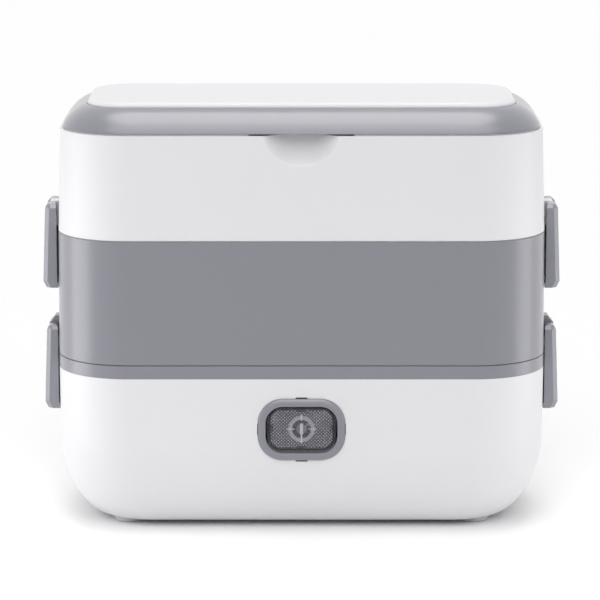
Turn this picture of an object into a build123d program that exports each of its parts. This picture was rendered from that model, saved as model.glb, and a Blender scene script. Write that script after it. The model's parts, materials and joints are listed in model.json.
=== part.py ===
from build123d import *
import math
import os

# An electric lunch box: a heated base, a steaming tier, a storage tier and a hinged lid, stacked and latched.
# Millimetres. +Z is up, the front faces -Y, and the origin is under the middle of the body, on the surface.

os.makedirs("parts", exist_ok=True)

# ---------------------------------------------------------------- driving dimensions
# Plan outline, a rounded rectangle, at its widest at the base's rim
body_width = 226.0
body_depth = 101.0
body_corner = 33.5
wall = 2.5

# Heights of the stacked pieces
foot_drop = 2.1  # from the surface to the base's underside
base_height = 71.8
ring_height = 6.05  # grey band of the liner that shows above the base
middle_height = 57.6
upper_height = 48.2
lid_gap = 0.7
lid_height = 10.4
panel_rise = 2.5

# How far the walls lean in over each piece's height
base_lean = 0.2
middle_lean = 0.45
upper_lean = 1.4
lid_setback = 1.15  # the lid's lower edge stands in from the tier's top edge

# Rounded belly under the base: a superellipse quarter
belly_run = 19.4
belly_height = 37.4
belly_power = 1.66
belly_corner_share = 0.49  # how much of the inset the plan corners lose
belly_steps = 6

# Groove that shows as a dark line at each seam
groove_height = 0.5
groove_depth = 0.6

# Clearances
fit_gap = 0.3  # between pieces that lift or swing past each other
pin_gap = 0.05  # radial, a pin running in its bore
seat_gap = 0.02  # radial, a pin or screw held in its hole
cut_over = 1.0  # how far a cutter passes the face that it cuts

# Heated tub inside the base
tub_inset = 15.0
tub_wall = 1.5
tub_room = 29.35  # under the tub, for the heater and the mains inlet
flange_thickness = 3.0
rebate_width = 3.5
rebate_depth = 2.0
skirt_depth = 3.0
weld_width = 4.0  # lip of the tub, welded under the flange

# Lips that locate each tier on the one below, and their seals
lip_height = 3.0
lip_thickness = 2.0
seal_thickness = 1.2
seal_height = 1.6

# Steel food containers and their plastic lids
sheet = 0.6
container_gap = 2.0  # steam space around a container
container_rise = 1.5  # over the heating plate
container_corner = 6.0
cover_thickness = 2.0
cover_round = 0.7
cover_seal_drop = 4.0  # the seal plugs the container this deep
cover_seal_seat = 0.8  # and sits in a groove this deep
cover_seal_thickness = 1.5

# Heating plate and what is fixed under it
plate_length = 142.0
plate_width = 46.0
plate_corner = 18.0
plate_thickness = 2.0
plate_round = 1.0
plate_step = 4.0  # the flange overlaps the tub's floor by this much
plug_depth = 3.0  # the middle of the plate reaches down through the floor
gasket_thickness = 0.5
heater_length = 80.0
heater_width = 24.0
heater_height = 6.0
heater_round = 1.0
strap_width = 12.0
strap_thickness = 0.8
strap_spread = 32.0
boss_radius = 3.5
boss_spread = 22.5
screw_radius = 1.5
screw_head_radius = 2.8
screw_head_height = 1.5
thermostat_radius = 7.5
thermostat_height = 9.0
thermostat_x = 51.0
fuse_radius = 2.0
fuse_length = 14.0
fuse_x = -50.0

# Posts that screw the liner down to the base
post_radius = 4.5
post_x = 70.0
post_y = 19.0
post_screw_length = 14.0
well_radius = 3.6
well_depth = 3.0

# Feet
foot_radius = 6.8
foot_x = 81.0
foot_y = 21.0
foot_recess = 1.4
foot_round = 0.7

# Illuminated push button in the front wall
button_share = 0.67  # its height, as a share of the base's
bezel_width = 40.0
bezel_height = 29.0
bezel_corner = 11.5
bezel_recess = 0.9  # the bezel's flange sits this deep in the wall
bezel_proud = 1.5
window_width = 31.9
window_height = 21.7
window_corner = 6.5
sleeve_thickness = 1.6
sleeve_depth = 4.4
button_gap = 0.35
button_inset = 0.9  # the cap's face stands in from the bezel's
button_travel = 2.0
cap_depth = 4.4
cap_thickness = 1.4
cap_rim = 1.3
cap_round = 0.7
reflector_thickness = 0.8
stem_radius = 2.0
stem_length = 5.4
slot_length = 5.4
slot_width = 1.3  # over and under the bezel
side_slot_width = 0.6
switch_width = 24.0
switch_height = 16.0
spring_radius = 3.0
spring_wire = 0.3
spring_turns = 3
lamp_radius = 1.5
lamp_spread = 8.0
lamp_reach = 1.7

# Mains inlet in the rear wall, the three-pin appliance size
inlet_body_width = 27.0
inlet_body_height = 19.8
inlet_body_depth = 22.5
inlet_flange_width = 31.0
inlet_flange_height = 24.0
inlet_flange_thickness = 1.5
inlet_cavity_width = 24.2
inlet_cavity_height = 16.2
inlet_cavity_depth = 17.0
inlet_key = 4.5  # chamfer on the socket's two lower corners
blade_thickness = 2.0
blade_height = 4.0
blade_length = 15.0
blade_spacing = 7.0
earth_rise = 4.0
tab_length = 7.0
tab_thickness = 0.8
pod_width = 36.0
pod_height = 27.0
pod_corner = 4.0
pod_setback = 0.3  # the pod's face stands in from the base's rear rim
pod_depth = 18.0

# Insulated wires inside the base
wire_radius = 0.9
wire_bend = 1.9
wire_drop = 6.5  # over the base's floor
wire_reach = 6.0  # straight run where a wire leaves a tab
switch_pin_spread = 7.0

# Side latches
latch_length = 39.7
latch_width = 25.0
latch_gap = 1.5  # from the seam's wall to the latch's inner face
latch_top_thickness = 5.2
latch_bottom_thickness = 6.6
latch_bevel = 2.0
latch_top_round = 2.8
latch_inner_round = 1.6
latch_toe = 3.0  # chamfer height at the lower outer corner
latch_toe_run = 1.5
latch_lip = 0.45
latch_lip_height = 2.2
latch_pocket = 2.0
latch_rim = 2.0
pivot_drop = 2.8  # from the latch's top to its pin
pin_radius = 1.0
pin_cover = 1.6  # the pin goes in from the rear and stops this far behind the front
upper_latch_rise = 11.2  # from the seam that it spans to the latch's top
lower_latch_rise = 11.1
ear_width = 7.0
ear_reach = 1.5  # past the pin
ear_foot = 8.2  # the ear meets the wall this far under the pin
ear_slope = 0.75  # run of the chamfer on an ear's top corner, as a share of its drop
upper_ear_rise = 0.0  # above the latch's top
upper_ear_chamfer = 1.2
lower_ear_rise = 3.0
lower_ear_chamfer = 3.0
catch_proud = 0.45
catch_height = 1.6
catch_width = 12.0

# Storage tier
floor_thickness = 2.0
floor_rise = 6.0
scoop_radius = 17.9
scoop_centre_rise = 4.4
scoop_depth = 9.0
scoop_wall = 2.0
scoop_round = 0.7  # on the scoop's rim in the front wall
scoop_relief = 6.0  # the lid's skirt is cut away this far round the scoop

# Rear hinge
hinge_x = 45.0
barrel_radius = 2.4
tier_barrel = 10.0
lid_barrel = 7.0
hinge_gap = 0.5  # from the tier's rear wall to the barrels

# Lid
shoulder_run_x = 12.0
shoulder_run_y = 12.6
shoulder_power = 1.45
shoulder_steps = 5
lid_wall = 2.2
lid_skirt = 4.0
lid_skirt_thickness = 1.8
lid_seal_width = 1.3
panel_lap_x = 0.5  # the panel passes the frame's flat top by this much
panel_lap_y = -0.1
panel_corner = 19.0
panel_seat = 1.6
panel_gap = 0.25
panel_round_run = 3.2
panel_round_steps = 4
peg_radius = 2.0
peg_length = 2.4
peg_x = 80.0
peg_y = 18.0
peg_boss = 3.8

# ---------------------------------------------------------------- levels worked out from them
z_base = foot_drop
z_rim = z_base + base_height
z_ring = z_rim + ring_height
z_middle = z_ring + middle_height
z_upper = z_middle + upper_height
z_lid = z_upper + lid_gap
z_panel = z_lid + lid_height
z_floor = z_base + wall  # the base's floor, inside
z_tub_under = z_floor + tub_room
z_tub = z_tub_under + tub_wall  # the tub's floor, water side
z_lower_rest = z_ring - rebate_depth  # what the containers' rims rest on
z_middle_rest = z_middle - rebate_depth
upper_latch_top = z_middle + upper_latch_rise
lower_latch_top = z_ring + lower_latch_rise
inlet_z = z_floor + tub_room / 2
button_z = z_base + button_share * base_height

half_width = body_width / 2
half_depth = body_depth / 2
inset_upper = middle_lean + upper_lean  # at the storage tier's top
inset_lid = inset_upper + lid_setback
panel_width = body_width - 2 * (inset_lid + shoulder_run_x - panel_lap_x)
panel_depth = body_depth - 2 * (inset_lid + shoulder_run_y - panel_lap_y)


# ---------------------------------------------------------------- shared shapes
def outline(z, inset, corner_loss=None):
    """The body's outline at height z, its sides moved in by inset."""
    loss = inset if corner_loss is None else corner_loss
    with BuildSketch(Plane.XY.offset(z)) as section:
        RectangleRounded(body_width - 2 * inset, body_depth - 2 * inset, body_corner - loss)
    return section.sketch


def block(z_low, z_high, inset_low, inset_high, mode=Mode.ADD):
    """A block of the body's outline between two heights, leaning from one inset to the other."""
    loft(sections=[outline(z_low, inset_low), outline(z_high, inset_high)], mode=mode)


def ring(z_low, z_high, outer, inner, mode=Mode.ADD):
    """A straight ring of the body's outline between two insets."""
    with BuildSketch(Plane.XY.offset(z_low)) as section:
        RectangleRounded(body_width - 2 * outer, body_depth - 2 * outer, body_corner - outer)
        RectangleRounded(
            body_width - 2 * inner, body_depth - 2 * inner, body_corner - inner, mode=Mode.SUBTRACT
        )
    extrude(section.sketch, amount=z_high - z_low, mode=mode)


def slab(low, high, mode=Mode.ADD):
    """A box given by its lowest and highest corners."""
    with Locations(low):
        Box(high[0] - low[0], high[1] - low[1], high[2] - low[2], align=(Align.MIN,) * 3, mode=mode)


def rod_x(x_low, x_high, y, z, radius, mode=Mode.ADD):
    """A round rod along X."""
    with BuildSketch(Plane.YZ.offset(x_low)) as section:
        with Locations((y, z)):
            Circle(radius)
    extrude(section.sketch, amount=x_high - x_low, mode=mode)


def rod_y(y_low, y_high, x, z, radius, mode=Mode.ADD):
    """A round rod along Y."""
    with BuildSketch(Plane.XZ.offset(-y_high)) as section:
        with Locations((x, z)):
            Circle(radius)
    extrude(section.sketch, amount=y_high - y_low, mode=mode)


def rod_z(z_low, z_high, x, y, radius, mode=Mode.ADD):
    """A round rod along Z."""
    with BuildSketch(Plane.XY.offset(z_low)) as section:
        with Locations((x, y)):
            Circle(radius)
    extrude(section.sketch, amount=z_high - z_low, mode=mode)


def pane(y_low, y_high, x, z, width, height, corner, mode=Mode.ADD):
    """A rounded rectangle in the front plane, made solid from y_low to y_high."""
    with BuildSketch(Plane.XZ.offset(-y_high)) as section:
        with Locations((x, z)):
            RectangleRounded(width, height, corner)
    extrude(section.sketch, amount=y_high - y_low, mode=mode)


def tile(z_low, z_high, width, depth, corner, mode=Mode.ADD):
    """A rounded rectangle in plan, made solid from z_low to z_high."""
    with BuildSketch(Plane.XY.offset(z_low)) as section:
        RectangleRounded(width, depth, corner)
    extrude(section.sketch, amount=z_high - z_low, mode=mode)


def finish(part, name):
    """Labels a finished piece and writes its file."""
    part.label = name
    export_step(part, f"parts/{name}.step")


corners = [(-1, -1), (1, -1), (-1, 1), (1, 1)]
sides = {"left": -1, "right": 1}


# ---------------------------------------------------------------- base housing
def belly(shift, mode=Mode.ADD):
    """The base's outside from its rim down round the belly, moved in and up by shift."""
    sections = []
    for step in range(belly_steps + 1):
        angle = math.radians(90 * step / belly_steps)
        drop = belly_height * math.sin(angle) ** (2 / belly_power)
        inset = base_lean + belly_run * (1 - math.cos(angle) ** (2 / belly_power))
        z = z_base + belly_height - drop
        sections.append(outline(z + shift, inset + shift, belly_corner_share * (inset - base_lean) + shift))
    loft(sections=sections, mode=mode)
    loft(sections=[sections[0], outline(z_rim + shift, shift)], mode=mode)


base_face = half_depth - base_lean  # the front wall's plane at the button
seat_y = -(base_face - bezel_recess)  # the floor of the bezel's seat
bezel_face = -(base_face + bezel_proud)
sleeve_width = window_width + 2 * sleeve_thickness
sleeve_height = window_height + 2 * sleeve_thickness
sleeve_corner = window_corner + sleeve_thickness
pod_face = half_depth - pod_setback
z_well = z_base + well_depth
z_post = z_well + wall  # where the tub's posts stand on the base's
posts = [(x * post_x, y * post_y) for x, y in corners]
foot_places = [(x * foot_x, y * foot_y) for x, y in corners]

with BuildPart() as base_shell:
    belly(0)
    belly(wall, Mode.SUBTRACT)
    for x, y in posts:
        rod_z(z_base, z_post, x, y, post_radius)
        rod_z(z_base, z_well, x, y, well_radius, Mode.SUBTRACT)
        rod_z(z_base, z_post, x, y, screw_radius + pin_gap, Mode.SUBTRACT)
    for x, y in foot_places:
        rod_z(0, z_base + foot_recess, x, y, foot_radius + pin_gap, Mode.SUBTRACT)
    pane(
        -half_depth, seat_y, 0, button_z,
        bezel_width + 2 * pin_gap, bezel_height + 2 * pin_gap, bezel_corner + pin_gap, Mode.SUBTRACT,
    )
    pane(
        -half_depth, seat_y + wall, 0, button_z,
        sleeve_width + 2 * pin_gap, sleeve_height + 2 * pin_gap, sleeve_corner + pin_gap, Mode.SUBTRACT,
    )
    for side in (-1, 1):
        slot_z = button_z + side * bezel_height / 2
        slot_x = side * bezel_width / 2
        slab(
            (-slot_length / 2, -half_depth, slot_z - slot_width / 2),
            (slot_length / 2, seat_y + wall, slot_z + slot_width / 2), Mode.SUBTRACT,
        )
        slab(
            (slot_x - side_slot_width / 2, -half_depth, button_z - slot_length / 2),
            (slot_x + side_slot_width / 2, seat_y + wall, button_z + slot_length / 2), Mode.SUBTRACT,
        )
    pane(
        0, half_depth, 0, inlet_z,
        pod_width + 2 * pin_gap, pod_height + 2 * pin_gap, pod_corner + pin_gap, Mode.SUBTRACT,
    )
    for side in (-1, 1):
        catch_z = lower_latch_top - latch_length + latch_lip_height + fit_gap
        reach = half_width - base_lean + catch_proud
        slab(
            (min(side * reach, side * (half_width - wall)), -catch_width / 2, catch_z),
            (max(side * reach, side * (half_width - wall)), catch_width / 2, catch_z + catch_height),
        )
finish(base_shell.part, "base_shell")

with BuildPart() as inlet_surround:
    pane(pod_face - pod_depth, pod_face, 0, inlet_z, pod_width, pod_height, pod_corner)
    pane(
        pod_face - pod_depth, pod_face, 0, inlet_z,
        inlet_body_width + 2 * pin_gap, inlet_body_height + 2 * pin_gap, 2 * pin_gap, Mode.SUBTRACT,
    )
finish(inlet_surround.part, "inlet_surround")

with BuildPart() as feet:
    for x, y in foot_places:
        rod_z(0, z_base + foot_recess, x, y, foot_radius)
    fillet(feet.edges().group_by(Axis.Z)[0], radius=foot_round)
finish(feet.part, "feet")

with BuildPart() as base_screws:
    for x, y in posts:
        rod_z(z_well - screw_head_height, z_well, x, y, screw_head_radius)
        rod_z(z_well, z_well + post_screw_length, x, y, screw_radius)
finish(base_screws.part, "base_screws")

# ---------------------------------------------------------------- liner with the heated tub
plug_length = plate_length - 2 * plate_step
plug_width = plate_width - 2 * plate_step
plug_corner = plate_corner - plate_step
z_gasket = z_tub
z_plate = z_gasket + gasket_thickness
z_plug = z_plate - plug_depth
z_heater = z_plug - heater_height
z_weld = z_ring - flange_thickness  # the flange's underside
bosses = [(x * strap_spread, y * boss_spread) for x, y in corners]
lip_out = wall + fit_gap + seal_thickness / 2
skirt_out = wall + fit_gap

with BuildPart() as base_liner:
    ring(z_rim, z_ring, 0, wall)
    ring(z_weld, z_ring, 0, tub_inset)
    ring(z_rim - skirt_depth, z_ring, skirt_out, skirt_out + tub_wall)
    ring(z_ring - rebate_depth, z_ring, tub_inset - rebate_width, tub_inset, Mode.SUBTRACT)
    ring(z_ring, z_ring + lip_height, lip_out, lip_out + lip_thickness)
    ring(
        z_ring + seal_thickness / 2, z_ring + seal_thickness / 2 + seal_height,
        lip_out, lip_out + seal_thickness / 2, Mode.SUBTRACT,
    )
finish(base_liner.part, "base_liner")

with BuildPart() as water_tub:
    ring(z_weld - tub_wall, z_weld, tub_inset - tub_wall - weld_width, tub_inset)
    ring(z_tub, z_weld, tub_inset - tub_wall, tub_inset)
finish(water_tub.part, "water_tub")

with BuildPart() as tub_floor:
    block(z_tub_under, z_tub, tub_inset - tub_wall, tub_inset - tub_wall)
    for x, y in posts:
        rod_z(z_post, z_tub_under, x, y, post_radius)
        rod_z(z_post, z_post + post_screw_length, x, y, screw_radius + seat_gap, Mode.SUBTRACT)
    for x, y in bosses:
        rod_z(z_heater, z_tub_under, x, y, boss_radius)
        rod_z(z_heater, z_tub_under, x, y, screw_radius + seat_gap, Mode.SUBTRACT)
    tile(
        z_tub_under, z_tub, plug_length + 2 * fit_gap, plug_width + 2 * fit_gap,
        plug_corner + fit_gap, Mode.SUBTRACT,
    )
finish(tub_floor.part, "tub_floor")

with BuildPart() as middle_seal:
    ring(
        z_ring + seal_thickness / 2, z_ring + seal_thickness / 2 + seal_height,
        lip_out - seal_thickness / 2, lip_out + seal_thickness / 2,
    )
finish(middle_seal.part, "middle_seal")

# ---------------------------------------------------------------- heater under the tub
with BuildPart() as heating_plate:
    tile(z_plate, z_plate + plate_thickness, plate_length, plate_width, plate_corner)
    tile(z_plug, z_plate, plug_length, plug_width, plug_corner)
    fillet(heating_plate.edges().group_by(Axis.Z)[-1], radius=plate_round)
finish(heating_plate.part, "heating_plate")

with BuildPart() as plate_gasket:
    tile(z_gasket, z_plate, plate_length, plate_width, plate_corner)
    tile(
        z_gasket, z_plate, plug_length + 2 * fit_gap, plug_width + 2 * fit_gap,
        plug_corner + fit_gap, Mode.SUBTRACT,
    )
finish(plate_gasket.part, "plate_gasket")

with BuildPart() as heater_element:
    slab((-heater_length / 2, -heater_width / 2, z_heater), (heater_length / 2, heater_width / 2, z_plug))
    fillet(heater_element.edges().filter_by(Axis.X), radius=heater_round)
finish(heater_element.part, "heater_element")

strap_half = boss_spread + boss_radius
z_strap = z_heater - strap_thickness

with BuildPart() as heater_straps:
    for side in (-1, 1):
        slab(
            (side * strap_spread - strap_width / 2, -strap_half, z_strap),
            (side * strap_spread + strap_width / 2, strap_half, z_heater),
        )
    for x, y in bosses:
        rod_z(z_strap, z_heater, x, y, screw_radius + pin_gap, Mode.SUBTRACT)
finish(heater_straps.part, "heater_straps")

with BuildPart() as strap_screws:
    for x, y in bosses:
        rod_z(z_strap - screw_head_height, z_strap, x, y, screw_head_radius)
        rod_z(z_strap, z_tub_under, x, y, screw_radius)
finish(strap_screws.part, "strap_screws")

lead_z = z_plug - thermostat_height - tab_length / 2  # the ends of the thermostat's tabs

with BuildPart() as thermostat:
    rod_z(z_plug - thermostat_height, z_plug, thermostat_x, 0, thermostat_radius)
    for side in (-1, 1):
        tab = side * thermostat_radius / 2
        slab(
            (thermostat_x - tab_thickness, tab - blade_height / 2, lead_z),
            (thermostat_x, tab + blade_height / 2, z_plug - thermostat_height),
        )
finish(thermostat.part, "thermostat")

with BuildPart() as thermal_fuse:
    rod_y(-fuse_length / 2, fuse_length / 2, fuse_x, z_plug - fuse_radius, fuse_radius)
finish(thermal_fuse.part, "thermal_fuse")

# ---------------------------------------------------------------- mains inlet
inlet_back = pod_face - inlet_body_depth
inlet_front = pod_face + inlet_flange_thickness
cavity_floor = inlet_front - inlet_cavity_depth
blades = [(-blade_spacing, 0), (blade_spacing, 0), (0, earth_rise)]


def blade(x, z, grow, mode=Mode.ADD):
    """One contact blade with its solder tab, grown by a seat gap where it is cut out of the inlet."""
    half_x = blade_thickness / 2 + grow
    half_z = blade_height / 2 + grow
    slab(
        (x - half_x, inlet_back - grow, inlet_z + z - half_z),
        (x + half_x, cavity_floor + blade_length, inlet_z + z + half_z), mode,
    )


with BuildPart() as power_inlet:
    pane(inlet_back, pod_face, 0, inlet_z, inlet_body_width, inlet_body_height, pin_gap)
    pane(pod_face, inlet_front, 0, inlet_z, inlet_flange_width, inlet_flange_height, pod_corner)
    with BuildSketch(Plane.XZ.offset(-inlet_front)) as socket:
        with Locations((0, inlet_z)):
            Rectangle(inlet_cavity_width, inlet_cavity_height)
        chamfer(socket.vertices().group_by(Axis.Z)[0], length=inlet_key)
    extrude(socket.sketch, amount=inlet_cavity_depth, mode=Mode.SUBTRACT)
    for x, z in blades:
        blade(x, z, seat_gap, Mode.SUBTRACT)
finish(power_inlet.part, "power_inlet")

with BuildPart() as inlet_blades:
    for x, z in blades:
        blade(x, z, 0)
        slab(
            (x - tab_thickness / 2, inlet_back - tab_length, inlet_z + z - blade_height / 2),
            (x + tab_thickness / 2, inlet_back, inlet_z + z + blade_height / 2),
        )
finish(inlet_blades.part, "inlet_blades")

# ---------------------------------------------------------------- illuminated push button
cap_width = window_width - 2 * button_gap
cap_height = window_height - 2 * button_gap
cap_corner = window_corner - button_gap
cap_face = bezel_face + button_inset
cap_back = cap_face + cap_depth
nest_width = cap_width - 2 * cap_rim
nest_height = cap_height - 2 * cap_rim
nest_corner = cap_corner - cap_rim
nest_face = cap_face + cap_thickness
reflector_back = nest_face + seat_gap + reflector_thickness
tub_face = -(half_depth - tub_inset + tub_wall)  # the tub's front, outside
switch_front = cap_back + button_travel + lamp_reach + fit_gap

with BuildPart() as bezel:
    pane(bezel_face, seat_y, 0, button_z, bezel_width, bezel_height, bezel_corner)
    fillet(bezel.faces().sort_by(Axis.Y)[0].edges(), radius=bezel_proud)
    pane(seat_y, seat_y + sleeve_depth, 0, button_z, sleeve_width, sleeve_height, sleeve_corner)
    pane(
        bezel_face, seat_y + sleeve_depth, 0, button_z,
        window_width, window_height, window_corner, Mode.SUBTRACT,
    )
finish(bezel.part, "bezel")

with BuildPart() as button_cap:
    pane(cap_face, cap_back, 0, button_z, cap_width, cap_height, cap_corner)
    fillet(button_cap.faces().sort_by(Axis.Y)[0].edges(), radius=cap_round)
    pane(nest_face, cap_back, 0, button_z, nest_width, nest_height, nest_corner, Mode.SUBTRACT)
finish(button_cap.part, "button_cap")

with BuildPart() as button_reflector:
    pane(
        nest_face + seat_gap, reflector_back, 0, button_z,
        nest_width - 2 * pin_gap, nest_height - 2 * pin_gap, nest_corner - pin_gap,
    )
finish(button_reflector.part, "button_reflector")

with BuildPart() as button_carrier:
    pane(
        reflector_back + seat_gap, cap_back, 0, button_z,
        nest_width - 2 * pin_gap, nest_height - 2 * pin_gap, nest_corner - pin_gap,
    )
    rod_y(cap_back, cap_back + stem_length, 0, button_z, stem_radius)
finish(button_carrier.part, "button_carrier")

with BuildPart() as switch_body:
    slab(
        (-switch_width / 2, switch_front, button_z - switch_height / 2),
        (switch_width / 2, tub_face, button_z + switch_height / 2),
    )
    rod_y(switch_front, tub_face, 0, button_z, stem_radius + fit_gap, Mode.SUBTRACT)
finish(switch_body.part, "switch_body")

with BuildPart() as indicator_lamps:
    for side in (-1, 1):
        rod_y(switch_front - lamp_reach, switch_front, side * lamp_spread, button_z, lamp_radius)
finish(indicator_lamps.part, "indicator_lamps")

spring_low = cap_back + spring_wire
spring_high = switch_front - spring_wire
with BuildPart() as button_spring:
    with BuildLine() as coil:
        Helix(
            (spring_high - spring_low) / spring_turns, spring_high - spring_low, spring_radius,
            center=(0, spring_low, button_z), direction=(0, 1, 0),
        )
    with BuildSketch(Plane(origin=coil.line @ 0, z_dir=coil.line % 0)):
        Circle(spring_wire)
    sweep(is_frenet=True)
finish(button_spring.part, "button_spring")


# ---------------------------------------------------------------- wires inside the base
z_run = z_floor + wire_drop
tab_y = inlet_back - tab_length
lead_x = thermostat_x - tab_thickness / 2
lead_y = thermostat_radius / 2
pin_y = (switch_front + tub_face) / 2
pin_z = button_z - switch_height / 2
heater_end = heater_length / 2
heater_z = z_plug - heater_height / 3
fuse_z = z_plug - fuse_radius
turn_y = tab_y - wire_reach
earth_z = inlet_z + earth_rise
earth_y = (heater_width + plug_width) / 4  # between the heater and the plate's edge

routes = [
    [  # inlet to switch
        (blade_spacing, tab_y, inlet_z),
        (blade_spacing, turn_y, inlet_z),
        (blade_spacing, turn_y - wire_reach, z_run),
        (blade_spacing, pin_y + 2 * wire_reach, z_run),
        (switch_pin_spread, pin_y, z_run + 2 * wire_reach),
        (switch_pin_spread, pin_y, pin_z),
    ],
    [  # switch to thermostat
        (-switch_pin_spread, pin_y, pin_z),
        (-switch_pin_spread, pin_y, z_run + 2 * wire_reach),
        (-switch_pin_spread, pin_y + 2 * wire_reach, z_run),
        (heater_end, pin_y + 3 * wire_reach, z_run),
        (lead_x, -lead_y, z_run),
        (lead_x, -lead_y, lead_z),
    ],
    [  # thermostat to heater
        (lead_x, lead_y, lead_z),
        (lead_x, lead_y, lead_z - wire_reach),
        (heater_end + wire_reach / 2, heater_width / 2 - wire_reach / 2, lead_z - wire_reach),
        (heater_end + wire_reach / 2, heater_width / 2 - wire_reach / 2, heater_z),
        (heater_end, heater_width / 2 - wire_reach / 2, heater_z),
    ],
    [  # inlet to fuse
        (-blade_spacing, tab_y, inlet_z),
        (-blade_spacing, turn_y, inlet_z),
        (-blade_spacing - wire_reach, turn_y - wire_reach, z_run),
        (fuse_x + wire_reach, turn_y - wire_reach, z_run),
        (fuse_x, fuse_length / 2 + wire_reach, z_run + wire_reach),
        (fuse_x, fuse_length / 2 + wire_reach, fuse_z),
        (fuse_x, fuse_length / 2, fuse_z),
    ],
    [  # fuse to heater
        (fuse_x, -fuse_length / 2, fuse_z),
        (fuse_x, wire_reach / 2 - heater_width / 2, fuse_z),
        (-heater_end, wire_reach / 2 - heater_width / 2, fuse_z),
    ],
    [  # inlet's earth to the heating plate
        (0, tab_y, earth_z),
        (0, turn_y, earth_z),
        (0, earth_y, (earth_z + z_plug) / 2),
        (0, earth_y, z_plug),
    ],
]

with BuildPart() as wiring:
    for points in routes:
        with BuildLine() as route:
            FilletPolyline(*points, radius=wire_bend)
        with BuildSketch(Plane(origin=route.line @ 0, z_dir=route.line % 0)):
            Circle(wire_radius)
        sweep()
finish(wiring.part, "wiring")


# ---------------------------------------------------------------- containers
container_depth = z_lower_rest - z_plate - plate_thickness - container_rise


def container(z_rest, name):
    """A drawn steel container hung by its rim, the rim's underside at z_rest."""
    out = tub_inset + container_gap
    rim_out = tub_inset - rebate_width + fit_gap
    with BuildPart() as vessel:
        block(z_rest - container_depth, z_rest + sheet, out, out)
        fillet(vessel.edges().group_by(Axis.Z)[0], radius=container_corner)
        offset(amount=-sheet, openings=vessel.faces().sort_by(Axis.Z)[-1])
        ring(z_rest, z_rest + sheet, rim_out, out + sheet)
    finish(vessel.part, name)


def cover(z_rest, name):
    """A plastic cover that rests on a container's rim, with a silicone seal that plugs the container's mouth."""
    rim_out = tub_inset - rebate_width + fit_gap
    seal_out = tub_inset + container_gap + sheet + fit_gap
    seal_in = seal_out + cover_seal_thickness
    with BuildPart() as plate:
        block(z_rest, z_rest + cover_thickness, rim_out, rim_out)
        fillet(plate.edges().group_by(Axis.Z)[-1], radius=cover_round)
        ring(z_rest, z_rest + cover_seal_seat, seal_out, seal_in, Mode.SUBTRACT)
    finish(plate.part, name)
    with BuildPart() as seal:
        ring(z_rest - cover_seal_drop, z_rest + cover_seal_seat, seal_out, seal_in)
    finish(seal.part, f"{name}_seal")


container(z_lower_rest, "lower_container")
cover(z_lower_rest + sheet, "lower_cover")
container(z_middle_rest, "middle_container")
cover(z_middle_rest + sheet, "middle_cover")

# ---------------------------------------------------------------- side latches
latch_in = half_width - middle_lean + latch_gap
pivot_x = latch_in + latch_top_thickness / 2
lip_in = latch_in - latch_lip
slot_half = ear_width / 2 + fit_gap


def top_edges(part):
    """The edges along a latch's top, the nearest to the wall first."""
    return part.edges().filter_by(Axis.Y).group_by(Axis.Z)[-1].sort_by(lambda e: abs(e.center().X))


def outer_edges(part):
    """The edges down the outside of a latch's two flanks, from its top round to its toe."""
    flanks = part.edges().filter_by(lambda e: abs(e.center().Y) > latch_width / 4)
    return flanks.filter_by(lambda e: abs(e.center().X) > pivot_x)


def latch(side, z_latch, name):
    """A latch that hangs from its pin, its hollow side to the wall."""
    z_end = z_latch - latch_length
    outer = latch_in + latch_bottom_thickness
    profile = [
        (latch_in, z_latch),
        (latch_in + latch_top_thickness, z_latch),
        (outer, z_end + latch_toe),
        (outer - latch_toe_run, z_end),
        (lip_in, z_end),
        (lip_in, z_end + latch_lip_height),
        (latch_in, z_end + latch_lip_height + latch_lip),
    ]
    with BuildPart() as lever:
        with BuildSketch(Plane.XZ):
            with BuildLine():
                Polyline([(side * x, z) for x, z in profile], close=True)
            make_face()
        extrude(amount=latch_width / 2, both=True)
        fillet(top_edges(lever)[-1], radius=latch_top_round)
        chamfer(outer_edges(lever), length=latch_bevel)
        fillet(top_edges(lever)[0], radius=latch_inner_round)
        inner = side * (latch_in - latch_gap)
        beyond = side * (outer + cut_over)
        pocket = side * (latch_in + latch_pocket)
        slab(
            (min(inner, pocket), -latch_width / 2 + latch_rim, z_end + latch_lip_height + latch_rim),
            (max(inner, pocket), latch_width / 2 - latch_rim, z_latch - pivot_drop - ear_foot), Mode.SUBTRACT,
        )
        slab(
            (min(inner, beyond), -slot_half, z_latch - pivot_drop - ear_foot),
            (max(inner, beyond), slot_half, z_latch + cut_over), Mode.SUBTRACT,
        )
        rod_y(
            pin_cover - latch_width / 2, latch_width / 2, side * pivot_x, z_latch - pivot_drop,
            pin_radius + pin_gap, Mode.SUBTRACT,
        )
    finish(lever.part, name)


for side_name, side in sides.items():
    latch(side, upper_latch_top, f"upper_latch_{side_name}")
    latch(side, lower_latch_top, f"lower_latch_{side_name}")


def latch_pins(z_latch, name):
    """The two pins of a pair of latches."""
    with BuildPart() as pins:
        half = latch_width / 2 - fit_gap
        for side in (-1, 1):
            rod_y(pin_cover - half, half, side * pivot_x, z_latch - pivot_drop, pin_radius)
    finish(pins.part, name)


latch_pins(upper_latch_top, "upper_latch_pins")
latch_pins(lower_latch_top, "lower_latch_pins")


# ---------------------------------------------------------------- tiers
def tier_block(z_low, z_high, inset_low, inset_high, mode=Mode.ADD):
    """A tier's leaning outside, from the top of its groove up."""
    slope = (inset_high - inset_low) / (z_high - z_low)
    block(z_low + groove_height, z_high, inset_low + slope * groove_height, inset_high, mode)


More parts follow.
